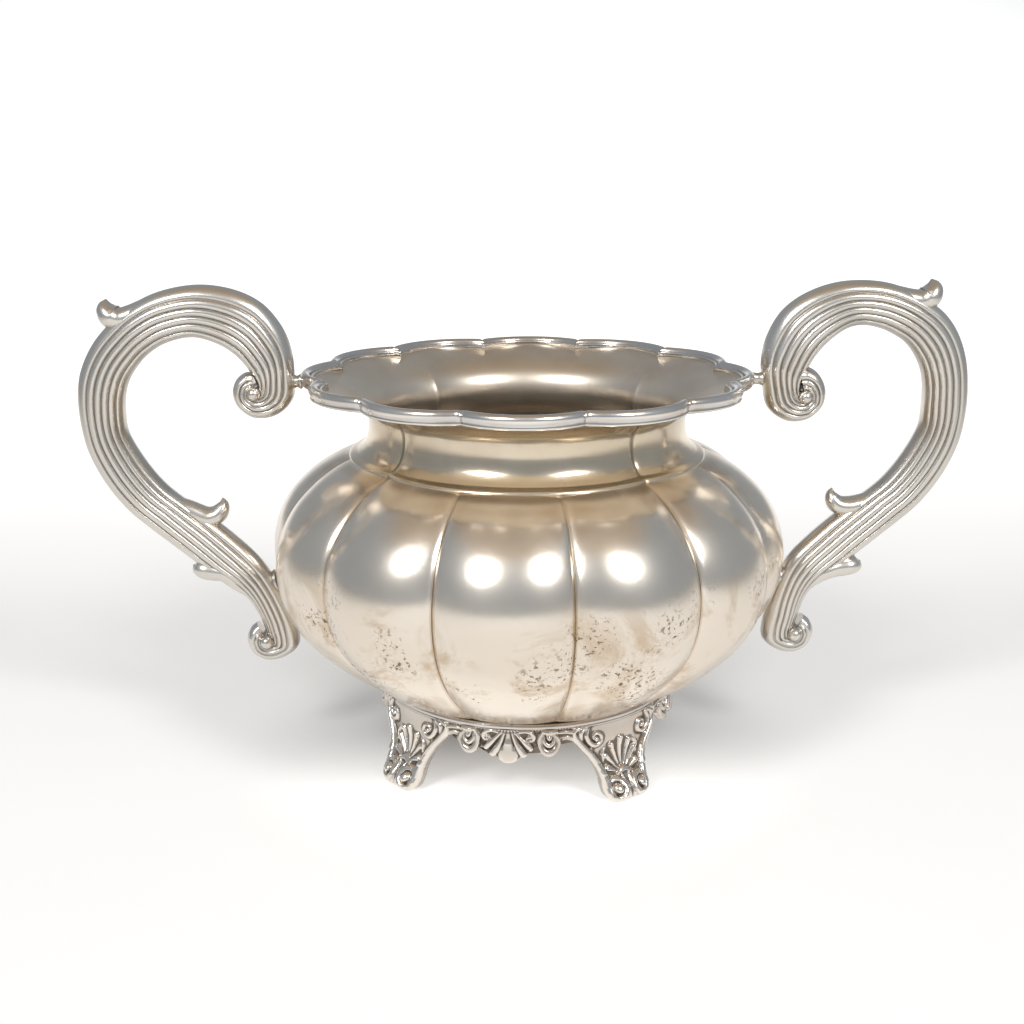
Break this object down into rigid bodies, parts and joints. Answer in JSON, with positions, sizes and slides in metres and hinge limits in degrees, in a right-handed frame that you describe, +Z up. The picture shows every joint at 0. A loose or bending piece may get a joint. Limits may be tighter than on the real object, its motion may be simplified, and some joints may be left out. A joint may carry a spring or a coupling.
{
  "type": "sugar bowl",
  "caption": "Two-handled melon-lobed silver sugar bowl with waisted panelled neck, scalloped rim, reeded scroll handles, shell aprons and scroll feet",
  "frame": {"origin": "on the table under the centre of the bowl, level with the soles of the feet", "axes": "+Z up; +X to the handle on the right; -Y the side that faces the viewer"},
  "size_m": [0.2014, 0.1172, 0.1106],
  "materials": {
    "raised_silver": "polished silver, warm with age, with fine scratches and brown tarnish spots low on the lobes",
    "border_silver": "polished silver moulding with tarnish in its grooves",
    "cast_silver": "cast silver, worn bright on high places and dark in the recesses",
    "handle_silver": "cast silver with polished reeds and dark grooves",
    "solder_silver": "silver, filed and polished"
  },
  "bodies": {
    "root": {"belly": "raised_silver", "neck": "raised_silver", "rim_border": "border_silver", "base_ring": "border_silver", "foot_front_left": "cast_silver", "foot_front_right": "cast_silver", "foot_back_left": "cast_silver", "foot_back_right": "cast_silver", "apron_front": "cast_silver", "apron_right": "cast_silver", "apron_back": "cast_silver", "apron_left": "cast_silver", "handle_left_front_half": "handle_silver", "handle_left_back_half": "handle_silver", "handle_right_front_half": "handle_silver", "handle_right_back_half": "handle_silver", "handle_left_upper_lug": "solder_silver", "handle_right_upper_lug": "solder_silver", "handle_left_lower_pad": "solder_silver", "handle_right_lower_pad": "solder_silver"}
  },
  "joints": []
}
